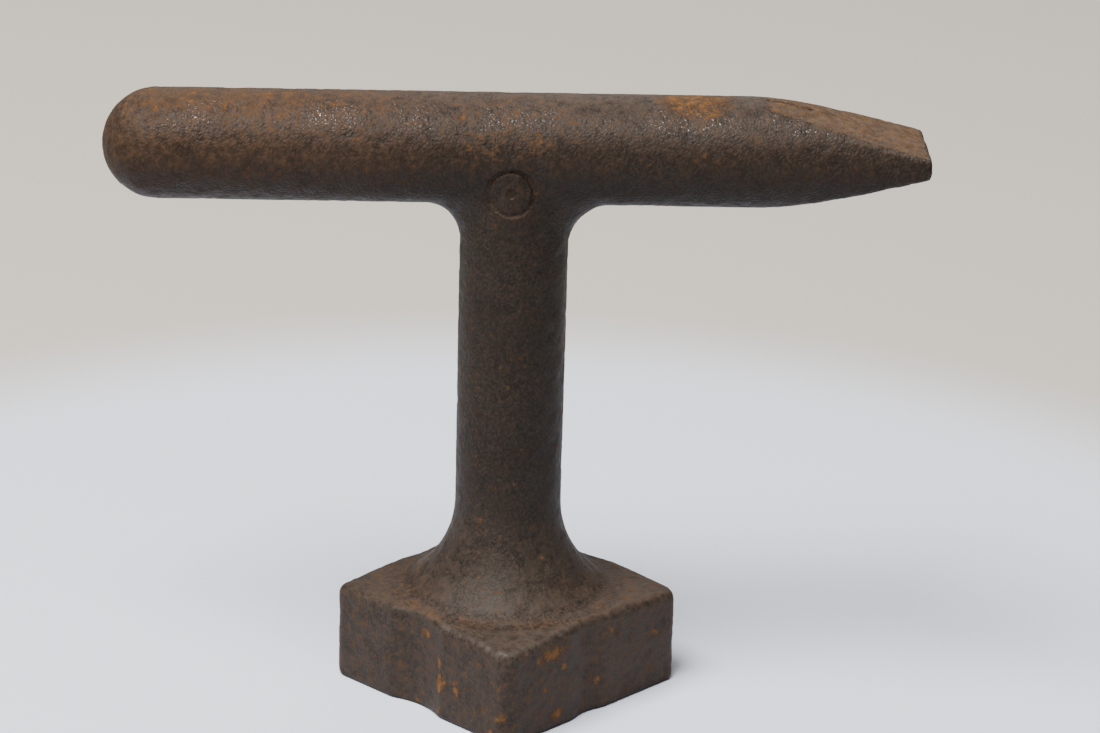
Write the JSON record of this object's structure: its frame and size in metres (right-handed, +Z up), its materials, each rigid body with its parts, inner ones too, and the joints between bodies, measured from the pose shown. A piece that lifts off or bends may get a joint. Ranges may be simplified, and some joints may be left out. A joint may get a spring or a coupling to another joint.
{
  "type": "t-shaped hand anvil",
  "caption": "T-shaped hand anvil: a round crossbar with a ball end and a chisel end on a round stem, standing on a square flared base. Rusty forged steel.",
  "frame": {"origin": "centre of the bench face, under the stem's axis", "axes": "+Z up along the stem; +X along the crossbar towards its chisel end; the base's corners point along X and Y"},
  "size_m": [0.188, 0.0792, 0.1442],
  "materials": {
    "rusted_scale": "forged scale under brown and orange rust, sandy grain",
    "dark_scale": "dark olive-brown forged scale with faint upright streaks and small rust spots",
    "worn_scale": "brown-purple forged scale with orange rust patches and edges worn grey"
  },
  "bodies": {
    "root": {"crossbar": "rusted_scale", "stem": "dark_scale", "base": "worn_scale"}
  },
  "joints": []
}
